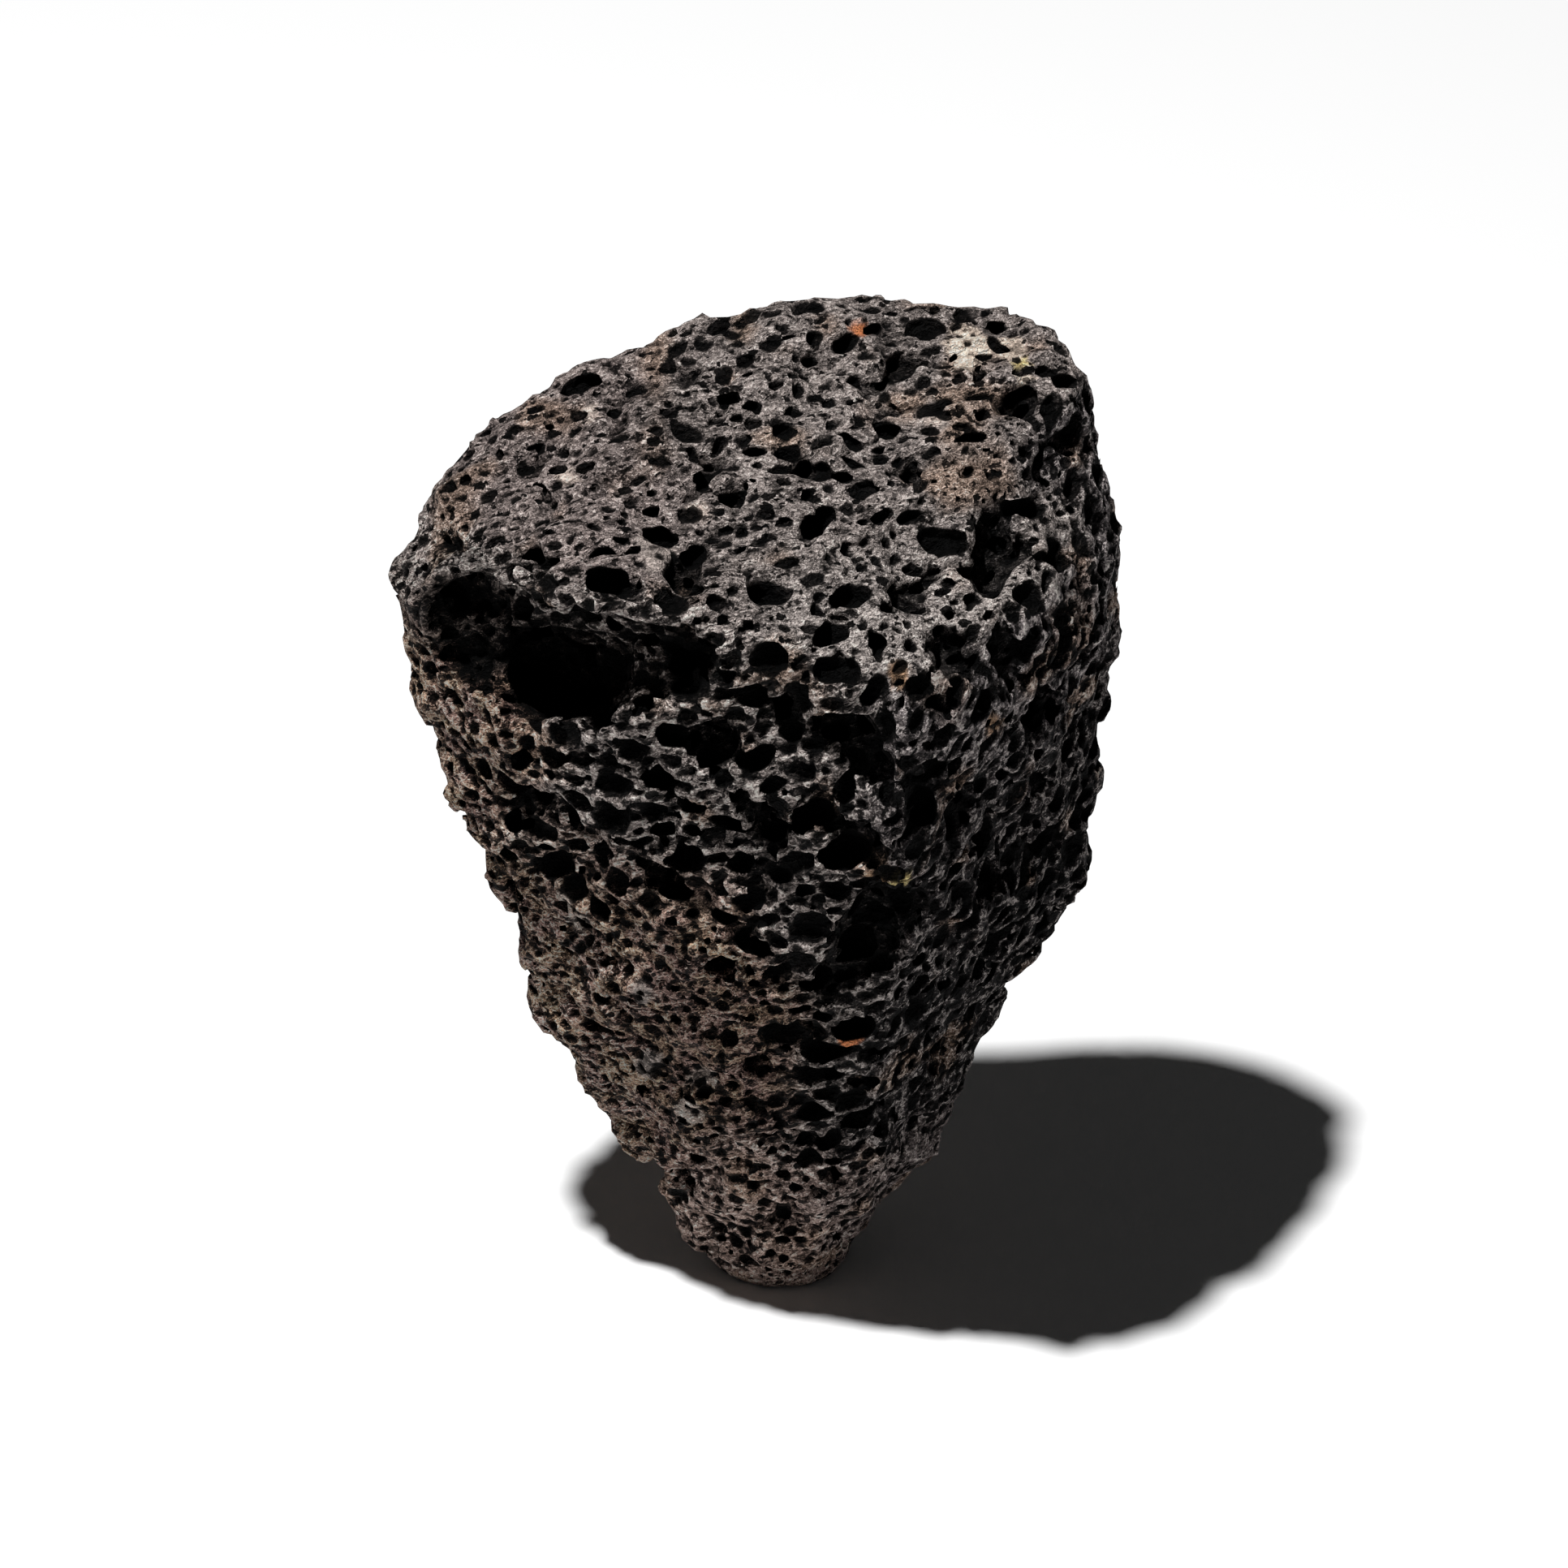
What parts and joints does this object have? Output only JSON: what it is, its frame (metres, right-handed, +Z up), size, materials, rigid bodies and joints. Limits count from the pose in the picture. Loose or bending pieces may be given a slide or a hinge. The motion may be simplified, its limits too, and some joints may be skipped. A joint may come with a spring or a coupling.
{
  "type": "lava rock",
  "caption": "Wedge-shaped lump of dark vesicular basalt that stands on a small worn foot, pitted all over, with an overhanging brow.",
  "frame": {"origin": "middle of the small worn flat at the lower end, on which the stone rests", "axes": "+Z up from the foot to the crown, front with the brow and the recess faces -Y, +X to the right seen from the front"},
  "size_m": [0.1052, 0.0711, 0.1579],
  "materials": {
    "basalt": "matte"
  },
  "bodies": {
    "root": {"lava_rock": "basalt"}
  },
  "joints": []
}
